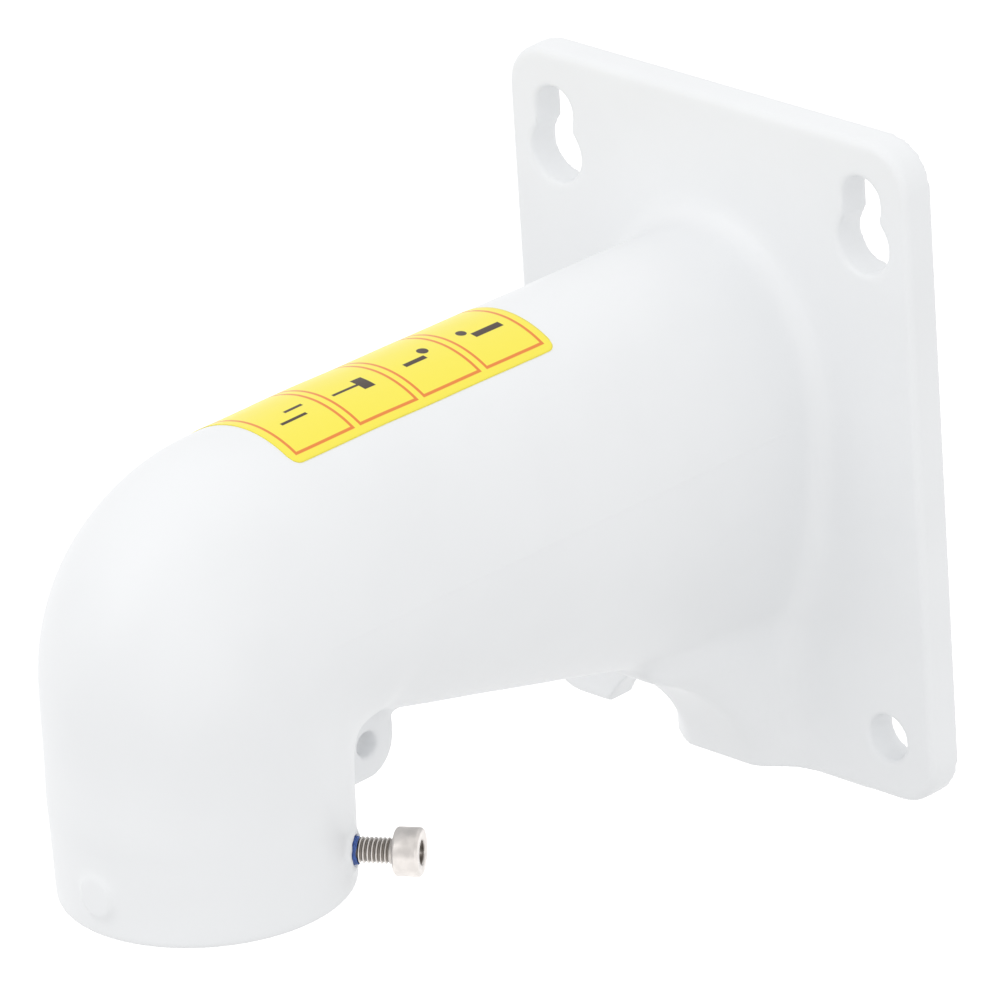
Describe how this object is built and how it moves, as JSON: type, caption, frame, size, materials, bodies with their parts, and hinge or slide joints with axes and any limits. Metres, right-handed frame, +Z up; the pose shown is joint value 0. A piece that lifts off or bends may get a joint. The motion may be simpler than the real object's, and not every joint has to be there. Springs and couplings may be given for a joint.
{
  "type": "camera wall bracket",
  "caption": "Hollow cast wall bracket: an oblong wall plate, a curved arm and a round collar facing down that clamps the neck of a hanging dome camera.",
  "frame": {"origin": "centre of the wall plate's back face", "axes": "+Z up, +Y into the wall, so the arm reaches out along -Y; +X across the plate, to the right for someone facing the wall"},
  "size_m": [0.122, 0.2157, 0.1626],
  "materials": {
    "white_coating": "satin powder coat on cast aluminium",
    "screw_steel": "turned stainless steel",
    "thread_patch": "blue nylon locking patch",
    "label_film": "yellow printed film"
  },
  "bodies": {
    "root": {"bracket_body": "white_coating", "lock_screw_right": "screw_steel", "lock_screw_left": "screw_steel", "thread_patch_right": "thread_patch", "thread_patch_left": "thread_patch", "label": "label_film"}
  },
  "joints": []
}
